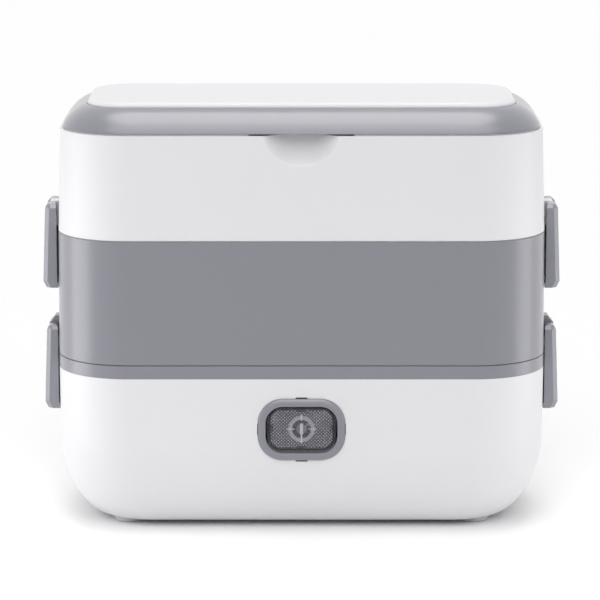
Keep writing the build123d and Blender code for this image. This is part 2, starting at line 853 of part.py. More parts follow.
def tier_walls(z_low, z_high, inset_low, inset_high):
    """A tier's outer block, with the groove under its lower edge, hollowed right through."""
    block(z_low, z_low + groove_height, inset_low + groove_depth, inset_low + groove_depth)
    tier_block(z_low, z_high, inset_low, inset_high)
    over = cut_over * (inset_high - inset_low) / (z_high - z_low)
    inner = (inset_low - over + wall, inset_high + over + wall)
    block(z_low - cut_over, z_high + cut_over, *inner, Mode.SUBTRACT)


def ears(z_latch, rise, ear_chamfer, walls, name):
    """The two ears that carry a pair of latches, trimmed to the tier's walls that they are welded to."""
    z_pin = z_latch - pivot_drop
    root = half_width - wall
    with BuildPart() as lugs:
        for side in (-1, 1):
            with BuildSketch(Plane.XZ) as section:
                with BuildLine():
                    Polyline(
                        [
                            (side * root, z_latch + rise),
                            (side * (pivot_x + ear_reach - ear_slope * ear_chamfer), z_latch + rise),
                            (side * (pivot_x + ear_reach), z_latch + rise - ear_chamfer),
                            (side * (pivot_x + ear_reach), z_pin - ear_reach),
                            (side * root, z_pin - ear_foot + ear_reach),
                        ],
                        close=True,
                    )
                make_face()
            extrude(section.sketch, amount=ear_width / 2, both=True)
            rod_y(-ear_width / 2, ear_width / 2, side * pivot_x, z_pin, pin_radius + seat_gap, Mode.SUBTRACT)
        tier_block(*walls, Mode.SUBTRACT)
    finish(lugs.part, name)


z_catch = upper_latch_top - latch_length + latch_lip_height + fit_gap
middle_lip_out = middle_lean + wall + fit_gap + seal_thickness / 2

middle_walls = (z_ring, z_middle, 0, middle_lean)
upper_walls = (z_middle, z_upper, middle_lean, inset_upper)

with BuildPart() as middle_tier:
    tier_walls(*middle_walls)
    ring(z_middle - flange_thickness, z_middle, middle_lean + wall / 2, tub_inset)
    ring(z_middle - rebate_depth, z_middle, tub_inset - rebate_width, tub_inset, Mode.SUBTRACT)
    ring(z_middle, z_middle + lip_height, middle_lip_out, middle_lip_out + lip_thickness)
    ring(
        z_middle + seal_thickness / 2, z_middle + seal_thickness / 2 + seal_height,
        middle_lip_out, middle_lip_out + seal_thickness / 2, Mode.SUBTRACT,
    )
    for side in (-1, 1):
        reach = half_width - middle_lean / 2 + catch_proud
        slab(
            (min(side * reach, side * (half_width - wall)), -catch_width / 2, z_catch),
            (max(side * reach, side * (half_width - wall)), catch_width / 2, z_catch + catch_height),
        )
finish(middle_tier.part, "middle_tier")
ears(lower_latch_top, lower_ear_rise, lower_ear_chamfer, middle_walls, "lower_latch_ears")

with BuildPart() as upper_seal:
    ring(
        z_middle + seal_thickness / 2, z_middle + seal_thickness / 2 + seal_height,
        middle_lip_out - seal_thickness / 2, middle_lip_out + seal_thickness / 2,
    )
finish(upper_seal.part, "upper_seal")

tier_back = half_depth - inset_upper  # the storage tier's rear wall at its top
scoop_face = -(half_depth - inset_upper)
scoop_sphere = (scoop_radius**2 + scoop_depth**2) / (2 * scoop_depth)
scoop_y = scoop_face - scoop_sphere + scoop_depth
scoop_z = z_upper + scoop_centre_rise
hinge_y = tier_back + hinge_gap + barrel_radius
hinge_z = z_upper
z_storage = z_middle + floor_rise

with BuildPart() as upper_tier:
    tier_walls(*upper_walls)
    with Locations((0, scoop_y, scoop_z)):
        Sphere(scoop_sphere + scoop_wall)
    block(z_storage, z_storage + floor_thickness, middle_lean + wall / 2, middle_lean + wall / 2)
    # the scoop's ball is trimmed to the tier's outside
    block(z_middle, z_upper, middle_lean, inset_upper, Mode.INTERSECT)
    with Locations((0, scoop_y, scoop_z)):
        Sphere(scoop_sphere, mode=Mode.SUBTRACT)
    fillet(upper_tier.edges(Select.LAST).sort_by(Axis.Y)[0], radius=scoop_round)
    for side in (-1, 1):
        x_low = side * hinge_x - tier_barrel / 2
        x_high = side * hinge_x + tier_barrel / 2
        slab((x_low, tier_back - wall / 2, hinge_z - barrel_radius), (x_high, hinge_y, hinge_z))
        rod_x(x_low, x_high, hinge_y, hinge_z, barrel_radius)
        rod_x(x_low, x_high, hinge_y, hinge_z, pin_radius + seat_gap, Mode.SUBTRACT)
finish(upper_tier.part, "upper_tier")
ears(upper_latch_top, upper_ear_rise, upper_ear_chamfer, upper_walls, "upper_latch_ears")

with BuildPart() as hinge_pins:
    for side in (-1, 1):
        half = tier_barrel / 2 + fit_gap + lid_barrel
        rod_x(side * hinge_x - half, side * hinge_x + half, hinge_y, hinge_z, pin_radius)
finish(hinge_pins.part, "hinge_pins")


# ---------------------------------------------------------------- lid
def shoulder_sections(shift, drop):
    """Sections of the lid from its lower edge up over the shoulder, moved in by shift and down by drop."""
    sections = []
    for step in range(shoulder_steps + 1):
        angle = math.radians(90 * step / shoulder_steps)
        rise = math.sin(angle) ** (2 / shoulder_power)
        run = 1 - math.cos(angle) ** (2 / shoulder_power)
        width = body_width - 2 * (inset_lid + shift + shoulder_run_x * run)
        depth = body_depth - 2 * (inset_lid + shift + shoulder_run_y * run)
        corner = (body_corner - inset_lid) * (1 - run) + (panel_corner + panel_gap) * run - shift
        with BuildSketch(Plane.XY.offset(z_lid + (lid_height - drop) * rise)) as section:
            RectangleRounded(width, depth, corner)
        sections.append(section.sketch)
    return sections


seat_z = z_panel - panel_seat
skirt_in = inset_upper + wall + fit_gap
scoop_half = scoop_radius + scoop_relief
pegs = [(x * peg_x, y * peg_y) for x, y in corners]

with BuildPart() as lid_frame:
    loft(sections=shoulder_sections(0, 0))
    loft(sections=shoulder_sections(lid_wall, panel_seat + lid_wall), mode=Mode.SUBTRACT)
    tile(
        seat_z, z_panel, panel_width + 2 * panel_gap, panel_depth + 2 * panel_gap,
        panel_corner + panel_gap, Mode.SUBTRACT,
    )
    for x, y in pegs:
        rod_z(seat_z - peg_length - lid_wall, seat_z, x, y, peg_boss)
        rod_z(seat_z - peg_length, seat_z, x, y, peg_radius + seat_gap, Mode.SUBTRACT)
    ring(z_lid - lid_gap - lid_skirt, z_lid + lid_wall, skirt_in, skirt_in + lid_skirt_thickness)
    ring(z_lid, z_lid + lid_wall, inset_lid + lid_wall / 2, skirt_in + lid_skirt_thickness)
    slab(
        (-scoop_half, -half_depth, z_lid - lid_gap - lid_skirt),
        (scoop_half, scoop_face + scoop_depth + scoop_relief, z_lid), Mode.SUBTRACT,
    )
    for side in (-1, 1):
        for end in (-1, 1):
            middle = side * hinge_x + end * (tier_barrel / 2 + fit_gap + lid_barrel / 2)
            x_low = middle - lid_barrel / 2
            x_high = middle + lid_barrel / 2
            frame_back = half_depth - inset_lid - lid_wall
            slab((x_low, frame_back, z_lid), (x_high, hinge_y, hinge_z + barrel_radius))
            rod_x(x_low, x_high, hinge_y, hinge_z, barrel_radius)
            rod_x(x_low, x_high, hinge_y, hinge_z, pin_radius + pin_gap, Mode.SUBTRACT)
finish(lid_frame.part, "lid_frame")

with BuildPart() as lid_panel:
    tile(seat_z, z_panel, panel_width, panel_depth, panel_corner)
    edges = []
    for step in range(panel_round_steps + 1):
        angle = math.radians(90 * step / panel_round_steps)
        run = panel_round_run * (1 - math.cos(angle))
        with BuildSketch(Plane.XY.offset(z_panel + panel_rise * math.sin(angle))) as section:
            RectangleRounded(panel_width - 2 * run, panel_depth - 2 * run, panel_corner - run / 2)
        edges.append(section.sketch)
    loft(sections=edges)
    for x, y in pegs:
        rod_z(seat_z - peg_length + seat_gap, seat_z, x, y, peg_radius)
finish(lid_panel.part, "lid_panel")

with BuildPart() as lid_seal:
    ring(z_upper, z_lid, skirt_in - lid_seal_width, skirt_in)
    slab(
        (-scoop_half, -half_depth, z_upper),
        (scoop_half, scoop_face + scoop_depth, z_lid), Mode.SUBTRACT,
    )
finish(lid_seal.part, "lid_seal")
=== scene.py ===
# %% [markdown]
# # Dressing an electric lunch box for a studio picture
# The solid model already has every piece of the lunch box in its right place: a white heated base, a grey steaming
# tier, a white storage tier and a grey lid with a white panel let into it. What it lacks is what the eye looks for
# first: how each material takes the light, and the small forms that are too fine for a solid model. This lesson adds
# both, one step at a time. The pieces of the model keep their places, and everything new is built around them.

# %% Load the frame
import bpy
import bmesh
import json
import math
from mathutils import Matrix, Vector


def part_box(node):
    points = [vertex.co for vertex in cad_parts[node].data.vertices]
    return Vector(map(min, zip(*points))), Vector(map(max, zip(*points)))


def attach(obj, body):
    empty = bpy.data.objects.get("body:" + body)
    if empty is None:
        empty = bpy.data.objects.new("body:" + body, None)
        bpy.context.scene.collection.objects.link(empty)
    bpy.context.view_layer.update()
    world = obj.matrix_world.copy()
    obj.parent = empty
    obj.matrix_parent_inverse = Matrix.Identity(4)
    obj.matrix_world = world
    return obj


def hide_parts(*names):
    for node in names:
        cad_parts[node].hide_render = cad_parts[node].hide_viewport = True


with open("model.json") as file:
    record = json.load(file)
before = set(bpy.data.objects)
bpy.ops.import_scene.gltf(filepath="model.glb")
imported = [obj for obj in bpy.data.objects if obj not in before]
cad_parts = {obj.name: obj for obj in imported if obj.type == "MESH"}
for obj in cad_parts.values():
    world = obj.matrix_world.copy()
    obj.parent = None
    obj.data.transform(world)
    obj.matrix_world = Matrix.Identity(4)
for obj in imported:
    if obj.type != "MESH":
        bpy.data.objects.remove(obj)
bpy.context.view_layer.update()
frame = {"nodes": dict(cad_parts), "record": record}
nodes = frame["nodes"]
mm = 0.001

# %% [markdown]
# ## Sums on sockets
# A material in Blender is a net of nodes, and a net of Math nodes is hard to read. Here an output socket is wrapped in
# a small class whose plus, minus and times add the Math node by themselves, so a roughness can be written as
# `0.3 + 0.1 * grain`. Every other kind of node comes from one method of the finish being wired.

# %% The socket wrapper
class Wire:
    """An output socket: a sum written on it adds its own Math node."""

    def __init__(self, tree, socket):
        self.tree = tree
        self.socket = socket

    def math(self, operation, first, second):
        step = self.tree.nodes.new("ShaderNodeMath")
        step.operation = operation
        plug(self.tree, step.inputs[0], first)
        plug(self.tree, step.inputs[1], second)
        return Wire(self.tree, step.outputs[0])

    def __add__(self, other):
        return self.math("ADD", self, other)

    def __radd__(self, other):
        return self.math("ADD", other, self)

    def __sub__(self, other):
        return self.math("SUBTRACT", self, other)

    def __mul__(self, other):
        return self.math("MULTIPLY", self, other)

    def __rmul__(self, other):
        return self.math("MULTIPLY", other, self)


def plug(tree, slot, value):
    """Gives an input its link or its plain value."""
    if isinstance(value, Wire):
        tree.links.new(value.socket, slot)
    else:
        slot.default_value = value


# %% The finish being wired
class Finish:
    """A material while its nodes are being wired."""

    def __init__(self, name):
        self.material = bpy.data.materials.new(name)
        self.material.use_nodes = True
        self.tree = self.material.node_tree
        self.tree.nodes.clear()

    def node(self, kind, settings=None, out=None, **values):
        """Adds a node: its settings come first, then the values or links of its inputs, by name."""
        step = self.tree.nodes.new("ShaderNode" + kind)
        for key, value in (settings or {}).items():
            if key == "stops":
                ramp = step.color_ramp
                while len(ramp.elements) < len(value):
                    ramp.elements.new(1.0)
                for element, (place, colour) in zip(ramp.elements, value):
                    element.position = place
                    element.color = colour
            else:
                setattr(step, key, value)
        for key, value in values.items():
            name = key.replace("_", " ")
            plug(self.tree, next(s for s in step.inputs if s.name == name and s.enabled), value)
        return Wire(self.tree, next(s for s in step.outputs if s.enabled and out in (None, s.name)))

    def close(self, surface):
        """Joins the surface to the output and hands the material over."""
        end = self.tree.nodes.new("ShaderNodeOutputMaterial")
        plug(self.tree, end.inputs["Surface"], surface)
        return self.material


def shade(red, green, blue):
    """A colour as a screen shows it, 0 to 255, turned into the linear one that a shader wants."""
    parts = (level / 255 for level in (red, green, blue))
    linear = [part / 12.92 if part <= 0.04045 else ((part + 0.055) / 1.055) ** 2.4 for part in parts]
    return (*linear, 1.0)


print("helpers ready")

# %% [markdown]
# ## Moulded plastic
# Nearly all of the lunch box is injection-moulded polypropylene. Such a skin is never perfectly even: the mould is
# spark eroded, which leaves a grain of about a third of a millimetre, and the colour drifts a little where the melt
# flowed. Its edges are rounded by a few tenths of a millimetre, which is what draws a thin light line along every seam.
# A Bevel node gives that round to the light without more faces, and the grain comes from a fine noise on a Bump node.

# %% Plastics
drift_scale, grain_scale, grain_depth = 16.0, 2800.0, 0.1 * mm
drift_in_roughness, grain_in_roughness = 0.05, 0.06
plastic_index, skin_roughness = 1.48, 0.3


def moulded(name, colour, roughness, grain=0.03, edge=0.45 * mm, drift=0.03, gloss=0.0, shine=0.5):
    """Satin plastic with a mould grain, a slow drift in tone, and softened edges.

    Gloss is a polished skin on top, and shine is how strongly the plastic itself reflects."""
    f = Finish(name)
    place = f.node("TexCoord", out="Object")
    slow = f.node("TexNoise", {"noise_dimensions": "3D"}, out="Fac", Vector=place, Scale=drift_scale, Detail=2.0)
    fine = f.node("TexNoise", {"noise_dimensions": "3D"}, out="Fac", Vector=place, Scale=grain_scale, Detail=1.0)
    deep = tuple(c * (1 - drift) for c in colour[:3]) + (1.0,)
    tone = f.node("Mix", {"data_type": "RGBA"}, Factor=slow, A=deep, B=colour)
    round_edge = f.node("Bevel", {"samples": 6}, Radius=edge)
    skin = f.node("Bump", Height=fine, Strength=grain, Distance=grain_depth, Normal=round_edge)
    rough = roughness + drift_in_roughness * (slow - 0.5) + grain_in_roughness * (fine - 0.5)
    return f.close(
        f.node(
            "BsdfPrincipled", Base_Color=tone, Roughness=rough, Normal=skin, IOR=plastic_index,
            Coat_Weight=gloss, Coat_Roughness=skin_roughness,
            Specular_IOR_Level=shine,
        )
    )


white_plastic = moulded("white_plastic", shade(231, 230, 233), 0.42)
grey_plastic = moulded("grey_plastic", shade(130, 130, 139), 0.30, grain=0.05, gloss=0.8)
reflector_frame = moulded("reflector_frame", shade(48, 46, 53), 0.45, edge=0.1 * mm, shine=0.15)
mark_pale = moulded("mark_pale", shade(214, 212, 220), 0.3, edge=0.1 * mm)
mark_grey = moulded("mark_grey", shade(172, 168, 180), 0.35, edge=0.1 * mm)
mark_dim = moulded("mark_dim", shade(118, 114, 124), 0.4, edge=0.1 * mm)
black_plastic = moulded("black_plastic", shade(34, 34, 37), 0.5, grain=0.08, shine=0.15)
pale_cover = moulded("pale_cover", shade(222, 224, 226), 0.40)
foot_rubber = moulded("foot_rubber", shade(214, 214, 216), 0.50, grain=0.1)
silicone = moulded("silicone", shade(205, 205, 207), 0.55, edge=0.3 * mm)
wire_skin = moulded("wire", shade(196, 74, 60), 0.45, edge=0.1 * mm)
print("plastics ready")

# %% [markdown]
# ## Metals
# The two food containers are drawn from stainless sheet and brushed, the heating plate is cast aluminium turned flat,
# and the inlet's blades are brass. Brushing is a noise stretched far along one direction, so that it reads as lines.

# %% Metals
scratch_shade, scratch_depth, scratch_in_roughness = 0.86, 0.05 * mm, 0.15


def brushed(name, colour, roughness, along=(14.0, 900.0, 900.0), depth=0.15):
    """Metal with fine lines along one direction."""
    f = Finish(name)
    place = f.node("TexCoord", out="Object")
    lines = f.node("Mapping", Vector=place, Scale=along)
    scratch = f.node("TexNoise", {"noise_dimensions": "3D"}, out="Fac", Vector=lines, Scale=1.0, Detail=4.0)
    deep = tuple(c * scratch_shade for c in colour[:3]) + (1.0,)
    tone = f.node("Mix", {"data_type": "RGBA"}, Factor=scratch, A=deep, B=colour)
    skin = f.node("Bump", Height=scratch, Strength=depth, Distance=scratch_depth)
    rough = roughness + scratch_in_roughness * (scratch - 0.5)
    return f.close(f.node("BsdfPrincipled", Base_Color=tone, Roughness=rough, Metallic=1.0, Normal=skin))


steel = brushed("steel", shade(200, 200, 203), 0.28)
aluminium = brushed("aluminium", shade(206, 207, 210), 0.38, along=(300.0, 300.0, 300.0), depth=0.3)
brass = brushed("brass", shade(206, 178, 112), 0.3)
print("metals ready")

# %% [markdown]
# ## Clear and lit plastics
# The button's cap is clear, so what is behind it makes the look. Real glass would bend the light, but the lamps could
# then no longer shine through it. A thin clear shell hardly bends anything, so a nearly see-through surface with a
# gloss of its own comes closer. It turns more solid where it is seen at a glance, as on its rounded rim. The lamps
# behind the button are small smoked domes.

# %% Clear plastics
flow_scale, flow_bump, flow_depth, flow_in_roughness = 120.0, 0.02, 0.1 * mm, 0.03
clear_index, rim_veil = 1.46, 0.9


def clear(name, colour, roughness, veil):
    """Clear moulded plastic with polished faces. Veil is the share of it that is seen as a surface."""
    f = Finish(name)
    place = f.node("TexCoord", out="Object")
    flow = f.node("TexNoise", {"noise_dimensions": "3D"}, out="Fac", Vector=place, Scale=flow_scale, Detail=1.0)
    skin = f.node("Bump", Height=flow, Strength=flow_bump, Distance=flow_depth)
    rough = roughness + flow_in_roughness * flow
    glance = f.node("LayerWeight", out="Facing", Blend=0.5)
    cover = glance * glance * (rim_veil - veil) + veil
    return f.close(
        f.node("BsdfPrincipled", Base_Color=colour, Roughness=rough, Normal=skin, IOR=clear_index, Alpha=cover)
    )


clear_plastic = clear("clear_plastic", shade(190, 190, 198), 0.08, 0.08)
lamp = clear("lamp", shade(96, 70, 62), 0.1, 0.9)
print("clear plastics ready")

# %% [markdown]
# ## Giving each piece its finish
# The record of the solid model says which finish each piece takes. The pieces whose shape is right stay as they are,
# and only their material slot changes.

# %% Finishes on the pieces
finishes = {
    "white_plastic": white_plastic, "grey_plastic": grey_plastic, "clear_plastic": clear_plastic,
    "dark_reflector": reflector_frame, "black_plastic": black_plastic, "steel": steel, "aluminium": aluminium,
    "pale_cover": pale_cover, "silicone": silicone, "foot_rubber": foot_rubber, "brass": brass, "lamp": lamp,
    "wire": wire_skin,
}
for part in frame["record"]["subparts"]:
    for slot in nodes[part["node"]].material_slots:
        slot.material = finishes[part["material_slot"]]

# %% [markdown]
# ## Tools for small pieces
# The unit in the front wall is modelled lying on its back, in millimetres: x to the right, y up its face and z out
# towards the viewer, with z = 0 at its foremost plane. One matrix then stands it up in the wall. A rounded rectangle
# is one square whose corners are bevelled, and each further loop of a profile is one inset, which keeps every loop
# parallel to the outline and gives all of them the same number of points.

# %% From a bmesh to a finished piece
bezel_low, bezel_high = (Vector(corner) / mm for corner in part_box("bezel"))
unit_middle = (bezel_low.z + bezel_high.z) / 2
stand_up = Matrix.Translation((0, bezel_low.y, unit_middle)) @ Matrix.Rotation(math.pi / 2, 4, "X")
weld = 0.002


def finish_piece(name, shape, finish, body, crease=35):
    """Stands a shape up in the wall and makes it an object that rides on its body."""
    bmesh.ops.remove_doubles(shape, verts=shape.verts, dist=weld)
    bmesh.ops.recalc_face_normals(shape, faces=shape.faces)
    bmesh.ops.transform(shape, matrix=Matrix.Scale(mm, 4) @ stand_up, verts=shape.verts)
    mesh = bpy.data.meshes.new(name)
    shape.to_mesh(mesh)
    shape.free()
    mesh.polygons.foreach_set("use_smooth", [True] * len(mesh.polygons))
    mesh.set_sharp_from_angle(angle=math.radians(crease))
    mesh.materials.append(finish)
    piece = bpy.data.objects.new(name, mesh)
    bpy.context.scene.collection.objects.link(piece)
    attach(piece, body)
    print(name, len(mesh.polygons), "faces")
    return piece


# %% Rounded rectangles, lifts and turned rings
def rounded_panel(shape, width, height, corner, level, x=0.0, y=0.0):
    """A flat rounded rectangle at a level, as one face."""
    before = set(shape.faces)
    square = bmesh.ops.create_grid(shape, x_segments=1, y_segments=1, size=0.5)["verts"]
    place = Matrix.Translation((x, y, level)) @ Matrix.Diagonal((width, height, 1, 1))
    bmesh.ops.transform(shape, matrix=place, verts=square)
    bmesh.ops.bevel(
        shape, geom=square, offset=corner, offset_type="OFFSET", affect="VERTICES", segments=12, profile=0.5,
        material=-1,
    )
    return next(face for face in shape.faces if face not in before)


def lift(shape, face, height):
    """Extrudes a face straight out and returns the raised face."""
    raised = bmesh.ops.extrude_face_region(shape, geom=[face])["geom"]
    bmesh.ops.translate(shape, vec=(0, 0, height), verts=[v for v in raised if isinstance(v, bmesh.types.BMVert)])
    return next(f for f in raised if isinstance(f, bmesh.types.BMFace))


def inset(shape, face, width, rise):
    """Adds a loop inside a face's outline, raised by so much; the face shrinks to what is left."""
    bmesh.ops.inset_region(shape, faces=[face], thickness=width, depth=rise, use_boundary=True, use_even_offset=True)


def pad(shape, width, height, corner, low, high, x=0.0, y=0.0, edge=0.12):
    """A rounded bar or plate with a softened front edge."""
    face = lift(shape, rounded_panel(shape, width, height, corner, low, x, y), high - edge - low)
    for angle in (30, 60, 90):
        before = math.radians(angle - 30)
        turn = math.radians(angle)
        inset(shape, face, edge * (math.cos(before) - math.cos(turn)), edge * (math.sin(turn) - math.sin(before)))


def turned(shape, profile, steps=64):
    """Spins a closed profile of (radius, level) points once round."""
    points = [shape.verts.new((radius, 0, level)) for radius, level in profile]
    edges = [shape.edges.new((a, b)) for a, b in zip(points, points[1:] + points[:1])]
    bmesh.ops.spin(
        shape, geom=points + edges, cent=(0, 0, 0), axis=(0, 0, 1), angle=2 * math.pi, steps=steps, use_merge=True
    )


print("tools ready")

# %% [markdown]
# ## Bezel
# The grey frame round the button is one moulding: a broad soft round on its outside that runs down to the wall, a
# nearly flat band, a small lip at the opening, and a sleeve that reaches through the wall. The solid model gives it a
# plain quarter round. Insets on one face draw the softer section: each goes in by a cosine step and up by a sine step,
# so together they make a quarter of an ellipse. The loop at the sleeve's end is then led back outside and bridged.

# %% Bezel
bezel_width, bezel_height, bezel_corner = 40.0, 29.0, 11.5
seat_level, wall_level, sleeve_level = -2.4, -1.45, -6.8
round_run, round_rise, round_steps = 2.35, 1.45, 8
lip_steps = ((0.85, -0.12), (0.12, 0.02), (0.1, -0.06), (0.08, -0.16))
lip_level = wall_level + round_rise + sum(rise for _, rise in lip_steps)
sleeve_width_share, sleeve_height_share = 1.08, 1.12


def bezel_shape():
    """The bezel's section, from its seat over the round to the end of its sleeve."""
    shape = bmesh.new()
    seat = rounded_panel(shape, bezel_width, bezel_height, bezel_corner, seat_level)
    seat_loop = seat.edges[:]
    face = lift(shape, seat, wall_level - seat_level)
    for step in range(round_steps):
        before, turn = (math.pi / 2 * (step + more) / round_steps for more in (0, 1))
        run = round_run * (math.cos(before) - math.cos(turn))
        inset(shape, face, run, round_rise * (math.sin(turn) - math.sin(before)))
    for width, rise in lip_steps:
        inset(shape, face, width, rise)
    opening = face
    face = lift(shape, opening, sleeve_level - lip_level)
    sleeve_loop = face.edges[:]
    bmesh.ops.delete(shape, geom=[f for f in (seat, opening, face) if f.is_valid], context="FACES_ONLY")
    end = bmesh.ops.extrude_edge_only(shape, edges=sleeve_loop)["geom"]
    end_points = [v for v in end if isinstance(v, bmesh.types.BMVert)]
    bmesh.ops.scale(shape, vec=(sleeve_width_share, sleeve_height_share, 1), verts=end_points)
    back = bmesh.ops.extrude_edge_only(shape, edges=[e for e in end if isinstance(e, bmesh.types.BMEdge)])["geom"]
    back_points = [v for v in back if isinstance(v, bmesh.types.BMVert)]
    bmesh.ops.translate(shape, vec=(0, 0, seat_level - sleeve_level), verts=back_points)
    back_loop = [e for e in back if isinstance(e, bmesh.types.BMEdge)]
    bmesh.ops.bridge_loops(shape, edges=back_loop + seat_loop)
    return shape


bezel = finish_piece("bezel_frame", bezel_shape(), grey_plastic, "base")
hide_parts("bezel")

# %% [markdown]
# ## Knurled reflector
# Behind the clear cap lies a dark plate covered with small pyramids, like a bicycle reflector, which scatters the light
# of the two lamps. A fine square grid is turned by 45 degrees, each square is poked up into a pyramid, and planes trim
# the field to a rounded rectangle. Real pyramids keep their sparkle from every side, which a bump map would not. The
# field is left open under the mark, so that no tip comes through it. Its colour carries painted shade in the valleys
# and a painted highlight on the tips.

# %% Reflector
reflector_low, reflector_high = (Vector(corner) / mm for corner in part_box("button_reflector"))
reflector_front = bezel_low.y - reflector_low.y
reflector_back = bezel_low.y - reflector_high.y
knurl_width, knurl_height, knurl_corner = 28.1, 17.5, 4.4
knurl_repeat, knurl_rise = 1.53, 0.45
knurl_floor = reflector_front - 0.5
knurl_skirt, trim_planes = 0.2, 24
# Colour stops by height: painted shade in the valleys, a mid tone on the slopes, a painted highlight on the tips.
painted_valley_shade, slope, painted_tip_highlight = (0.08, shade(52, 50, 58)), (0.2, shade(112, 108, 120)), (0.4, shade(206, 204, 214))
mark_top = reflector_front - 0.04
ring_outer, ring_inner, disc_radius = 6.25, 4.3, 2.35


def knurl_finish():
    """Smoked plastic with painted shade in the valleys between the pyramids and a painted highlight on their tips."""
    f = Finish("reflector_plastic")
    place = f.node("TexCoord", out="Object")
    split = f.node("SeparateXYZ", out="X", Vector=place)
    across, up = split, Wire(f.tree, split.socket.node.outputs["Z"])
    above = up - unit_middle * mm
    repeats = 1 / (knurl_repeat * mm)
    rising, falling = (above + across) * repeats, (above - across) * repeats
    height = rising.math("MINIMUM", rising.math("PINGPONG", rising, 0.5), falling.math("PINGPONG", falling, 0.5))
    # The ramp paints shade into the valleys and a highlight onto the tips of the pyramids.
    tone = f.node("ValToRGB", {"stops": [painted_valley_shade, slope, painted_tip_highlight]}, out="Color", Fac=height)
    return f.close(f.node("BsdfPrincipled", Base_Color=tone, Roughness=0.2 + 0.1 * height, IOR=1.49))


def knurl_shape():
    """A field of pyramids, trimmed to a rounded rectangle and closed underneath."""
    shape = bmesh.new()
    side = knurl_repeat / math.sqrt(2)
    cells = math.ceil(math.hypot(knurl_width, knurl_height) / side)
    bmesh.ops.create_grid(shape, x_segments=cells, y_segments=cells, size=cells * side / 2)
    bmesh.ops.poke(shape, faces=shape.faces, offset=knurl_rise)
    place = Matrix.Translation((0, 0, knurl_floor)) @ Matrix.Rotation(math.pi / 4, 4, "Z")
    bmesh.ops.transform(shape, matrix=place, verts=shape.verts)
    half_width, half_height = knurl_width / 2 - knurl_corner, knurl_height / 2 - knurl_corner
    for step in range(trim_planes):
        turn = 2 * math.pi * step / trim_planes
        way = Vector((math.cos(turn), math.sin(turn), 0))
        inner = Vector((math.copysign(half_width, way.x), math.copysign(half_height, way.y), 0))
        bmesh.ops.bisect_plane(
            shape, geom=shape.verts[:] + shape.edges[:] + shape.faces[:], plane_co=inner + knurl_corner * way,
            plane_no=way, clear_outer=True,
        )
    under_mark = [face for face in shape.faces if face.calc_center_median().xy.length < ring_outer - 0.4]
    bmesh.ops.delete(shape, geom=under_mark, context="FACES")
    rim = [edge for edge in shape.edges if edge.is_boundary]
    skirt = bmesh.ops.extrude_edge_only(shape, edges=rim)["geom"]
    skirt_points = [v for v in skirt if isinstance(v, bmesh.types.BMVert)]
    bmesh.ops.translate(shape, vec=(0, 0, -knurl_skirt), verts=skirt_points)
    outer = [e for e in skirt if isinstance(e, bmesh.types.BMEdge) and e.verts[0].co.xy.length > ring_outer]
    bmesh.ops.holes_fill(shape, edges=outer, sides=0)
    return shape


knurl = finish_piece("reflector_knurl", knurl_shape(), knurl_finish(), "power_button", crease=5)
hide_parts("button_reflector")

plate = bmesh.new()
pad(plate, 28.4, 18.2, 4.75, reflector_back, knurl_floor - 0.1)
finish_piece("reflector_plate", plate, reflector_frame, "power_button")

# %% [markdown]
# ## The mark on the reflector
# A plain ring with a bar and four short ticks shows where to press. The ring, the disc and the dark well between them
# are turned: a few points of their section are spun once round. The bar, the ticks and the four clips that hold the
# reflector in the cap are small rounded pads. A thin black sheet behind them is painted shade: it stands for the dark
# inside of the base that is seen past the cap.

# %% Mark and clips
ring = bmesh.new()
turned(ring, [
    (ring_inner, knurl_floor), (ring_inner, mark_top - 0.2), (ring_inner + 0.2, mark_top - 0.02),
    (ring_inner + 0.45, mark_top - 0.02), (ring_inner + 0.75, mark_top - 0.24), (ring_outer - 0.65, mark_top - 0.24),
    (ring_outer - 0.4, mark_top - 0.02), (ring_outer - 0.15, mark_top - 0.02), (ring_outer, mark_top - 0.2),
    (ring_outer, knurl_floor),
])
finish_piece("mark_ring", ring, mark_grey, "power_button")

well = bmesh.new()
turned(well, [
    (disc_radius, knurl_floor), (disc_radius, mark_top - 0.34), (ring_inner - 0.2, mark_top - 0.34),
    (ring_inner, mark_top - 0.28), (ring_inner, knurl_floor),
])
finish_piece("mark_well", well, reflector_frame, "power_button")

disc = bmesh.new()
disc_top, disc_edge = mark_top - 0.16, 0.1
turned(disc, [(0, knurl_floor), (0, disc_top), (disc_radius - disc_edge, disc_top), (disc_radius, knurl_floor)])
finish_piece("mark_disc", disc, mark_dim, "power_button")

bar_width, bar_height, tick_corner_share = 1.5, 5.5, 0.42
upper_tick, lower_tick = (0.8, 2.9, 0, 5.35), (0.8, 3.8, 0, -4.8)
left_tick, right_tick = (3.8, 0.5, -5.1, 0), (3.8, 0.5, 5.1, 0)

ticks = bmesh.new()
pad(ticks, bar_width, bar_height, tick_corner_share * bar_width, knurl_floor, mark_top)
for width, height, x, y in (upper_tick, lower_tick, left_tick, right_tick):
    pad(ticks, width, height, tick_corner_share * min(width, height), knurl_floor, mark_top, x, y, edge=0.06)
finish_piece("mark_bars", ticks, mark_pale, "power_button")

clip_depth, clip_corner, clip_edge, clip_top = 0.95, 0.2, 0.08, mark_top + 0.03
long_clip, long_clip_y, short_clip, short_clip_x, short_clip_y = 3.8, 8.65, 3.0, 13.6, 0.7

clips = bmesh.new()
for side in (-1, 1):
    pad(
        clips, long_clip, clip_depth, clip_corner, reflector_back, clip_top, 0, side * long_clip_y, edge=clip_edge
    )
    pad(
        clips, clip_depth, short_clip, clip_corner, reflector_back, clip_top, side * short_clip_x, short_clip_y,
        edge=clip_edge,
    )
finish_piece("button_clips", clips, black_plastic, "power_button")

# A thin black sheet of painted shade, standing for the dark inside of the base seen past the cap.
flange_width, flange_height, flange_corner, flange_back, flange_front = 31.0, 20.8, 6.0, -5.5, -5.3

flange = bmesh.new()
pad(flange, flange_width, flange_height, flange_corner, flange_back, flange_front, edge=0.05)
finish_piece("painted_shade_sheet", flange, black_plastic, "power_button")

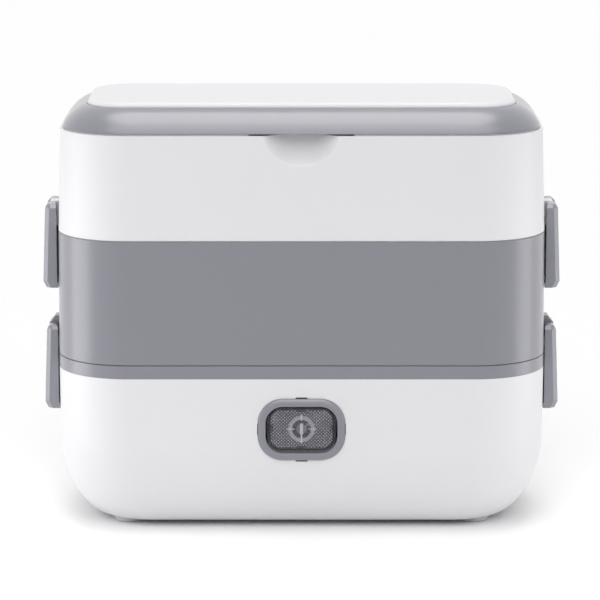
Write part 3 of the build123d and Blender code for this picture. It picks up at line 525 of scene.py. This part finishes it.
# %% [markdown]
# ## The floor, the light and the camera
# The picture was taken on a white sweep. Two soft boxes stand low beside the object, just out of the picture, and draw
# the light bands down its round corners. A broad key comes from the front, a narrow strip draws the line on the lid's
# shoulder, another lamp hangs overhead, and a white room fills the rest. The floor is so evenly lit that it turns white
# by itself and still keeps the soft shadow under the base.

# %% Floor
floor_size, floor_gap = 12.0, 0.1 * mm
floor_white, floor_whiter = (0.97, 0.97, 0.97, 1), (0.975, 0.975, 0.975, 1)


def stage_floor():
    """A wide white floor."""
    f = Finish("floor_paint")
    place = f.node("TexCoord", out="Object")
    slow = f.node("TexNoise", {"noise_dimensions": "3D"}, out="Fac", Vector=place, Scale=2.0)
    tone = f.node("Mix", {"data_type": "RGBA"}, Factor=slow, A=floor_white, B=floor_whiter)
    paint = f.close(f.node("BsdfDiffuse", Color=tone))
    mesh = bpy.data.meshes.new("floor")
    plane = bmesh.new()
    bmesh.ops.create_grid(plane, x_segments=1, y_segments=1, size=floor_size)
    bmesh.ops.translate(plane, verts=plane.verts, vec=(0, 0, -floor_gap))
    plane.to_mesh(mesh)
    plane.free()
    mesh.materials.append(paint)
    floor = bpy.data.objects.new("floor", mesh)
    bpy.context.scene.collection.objects.link(floor)


stage_floor()

# %% Room light
world = bpy.data.worlds.new("room")
bpy.context.scene.world = world
world.use_nodes = True
tree = world.node_tree
tree.nodes.clear()
path = tree.nodes.new("ShaderNodeLightPath")
seen = Wire(tree, path.outputs["Is Camera Ray"]) + Wire(tree, path.outputs["Is Glossy Ray"])
seen = seen + Wire(tree, path.outputs["Is Transmission Ray"])
room = 0.25
sky = tree.nodes.new("ShaderNodeBackground")
plug(tree, sky.inputs["Color"], (1, 1, 1, 1))
strength = tree.nodes.new("ShaderNodeClamp")
plug(tree, strength.inputs["Value"], room + seen)
plug(tree, sky.inputs["Strength"], Wire(tree, strength.outputs[0]))
end = tree.nodes.new("ShaderNodeOutputWorld")
tree.links.new(sky.outputs[0], end.inputs["Surface"])


# %% Lamps
def sun(name, level, turn, climb, spread):
    """A far soft lamp. Level is what it adds to a face that looks straight at it; turn 0 is the front."""
    light = bpy.data.lights.new(name, "SUN")
    light.energy = level * math.pi
    light.angle = math.radians(spread)
    obj = bpy.data.objects.new(name, light)
    around, up = math.radians(turn), math.radians(climb)
    toward = Vector((math.sin(around) * math.cos(up), -math.cos(around) * math.cos(up), math.sin(up)))
    obj.rotation_euler = toward.to_track_quat("Z", "Y").to_euler()
    bpy.context.scene.collection.objects.link(obj)


def soft_box(name, radiance, width, height, place, turn):
    """A soft box that stands near the object, just out of the picture, and faces inward. Turn 90 faces right."""
    light = bpy.data.lights.new(name, "AREA")
    light.shape = "RECTANGLE"
    light.size, light.size_y = width, height
    light.energy = radiance * math.pi * width * height
    obj = bpy.data.objects.new(name, light)
    obj.location = place
    obj.rotation_euler = (math.pi / 2, 0, math.radians(turn - 180))
    obj.visible_camera = False
    bpy.context.scene.collection.objects.link(obj)


sun("front_key", level=0.42, turn=0, climb=52, spread=60)
sun("front_strip", level=0.02, turn=0, climb=62, spread=7)
sun("overhead", level=0.42, turn=180, climb=84, spread=40)
soft_box("left_box", radiance=2.1, width=0.15, height=0.20, place=(-0.30, -0.06, 0.10), turn=90)
soft_box("right_box", radiance=1.5, width=0.12, height=0.18, place=(0.30, -0.045, 0.09), turn=-90)

# %% Camera
tilt, reach, aim = math.radians(11.45), 1.4498, 0.1007
picture_width, focal_pixels, middle_shift, far_clip = 600, 3074.4, -1.5, 100.0
lens = bpy.data.cameras.new("camera")
lens.sensor_width = 36.0
lens.lens = focal_pixels * lens.sensor_width / picture_width
lens.shift_x = middle_shift / picture_width
lens.clip_end = far_clip
camera = bpy.data.objects.new("camera", lens)
camera.location = (0, -reach * math.cos(tilt), aim + reach * math.sin(tilt))
camera.rotation_euler = (math.pi / 2 - tilt, 0, 0)
bpy.context.scene.collection.objects.link(camera)
bpy.context.scene.camera = camera
bpy.context.scene.view_settings.view_transform = "Standard"
print("lens", round(lens.lens, 1), "mm")
